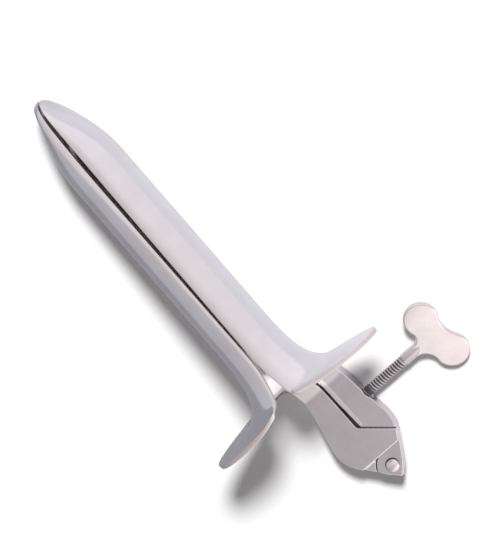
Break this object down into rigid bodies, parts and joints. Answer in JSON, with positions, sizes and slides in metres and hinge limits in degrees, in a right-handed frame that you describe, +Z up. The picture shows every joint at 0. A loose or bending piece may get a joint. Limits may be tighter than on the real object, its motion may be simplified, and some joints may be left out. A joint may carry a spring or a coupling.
{
  "type": "anal speculum",
  "caption": "Bivalve anal speculum: half-tube blades with a rounded beak and leaf-shaped wings, lapped hinge levers and a side thumbscrew that spreads the blades.",
  "frame": {"origin": "bottom centre of the bounding box, on the surface that the instrument lies on", "axes": "+Z up, +Y along the blades towards the beak, +X towards the thumbscrew; the tube's axis is tipped down towards the beak as it lies at rest"},
  "size_m": [0.0726, 0.1542, 0.0411],
  "materials": {
    "polished_steel": "mirror polished stainless steel",
    "satin_steel": "satin stainless steel"
  },
  "bodies": {
    "left_side": {"left_blade": "polished_steel", "left_lever": "satin_steel", "hinge_rivet": "satin_steel"},
    "right_side": {"right_blade": "polished_steel", "right_lever": "satin_steel"},
    "thrust_tip": {"screw_tip": "satin_steel"},
    "thumbscrew": {"screw_rod": "satin_steel", "wing_head": "satin_steel"}
  },
  "joints": [
    {"name": "blade_opening", "type": "hinge", "parent": "left_side", "child": "right_side", "pos_m": [-0.00501, -0.07257, 0.00816], "axis": [0, -0.1916, -0.9815], "range_deg": [0, 28]},
    {"name": "screw_travel", "type": "slide", "parent": "right_side", "child": "thrust_tip", "axis": [-1, 0, 0], "range_m": [0, 0.01041]},
    {"name": "screw_turn", "type": "hinge", "parent": "thrust_tip", "child": "thumbscrew", "pos_m": [0.00356, -0.05166, 0.00408], "axis": [-1, 0, 0], "range_deg": [0, 3946]}
  ],
  "couplings": [
    {"joint": "screw_travel", "follows": "blade_opening", "m_per_rad": 0.0213},
    {"joint": "screw_turn", "follows": "blade_opening", "ratio": 140.88}
  ]
}
